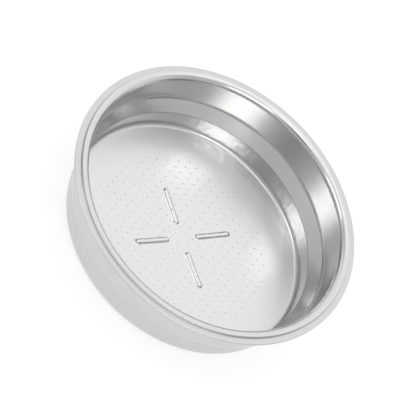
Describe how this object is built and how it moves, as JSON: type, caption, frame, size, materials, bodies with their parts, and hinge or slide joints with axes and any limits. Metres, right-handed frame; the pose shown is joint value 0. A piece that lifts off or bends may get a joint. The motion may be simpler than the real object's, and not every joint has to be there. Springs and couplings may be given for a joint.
{
  "type": "espresso filter basket",
  "caption": "Round pressed filter basket for an espresso machine: raised ring on a flat rim, shouldered wall, and a finely perforated base with radial ribs.",
  "frame": {"origin": "on the axis of the cup, in the plane of the rim's underside, where the basket seats in its holder", "axes": "+Z along the axis, out of the mouth; +X nearly along the rows of holes, which are turned 3.1 degrees from it"},
  "size_m": [0.06, 0.06, 0.0158],
  "materials": {
    "stainless": "polished wall and rim, satin base"
  },
  "bodies": {
    "root": {"filter_basket": "stainless"}
  },
  "joints": []
}
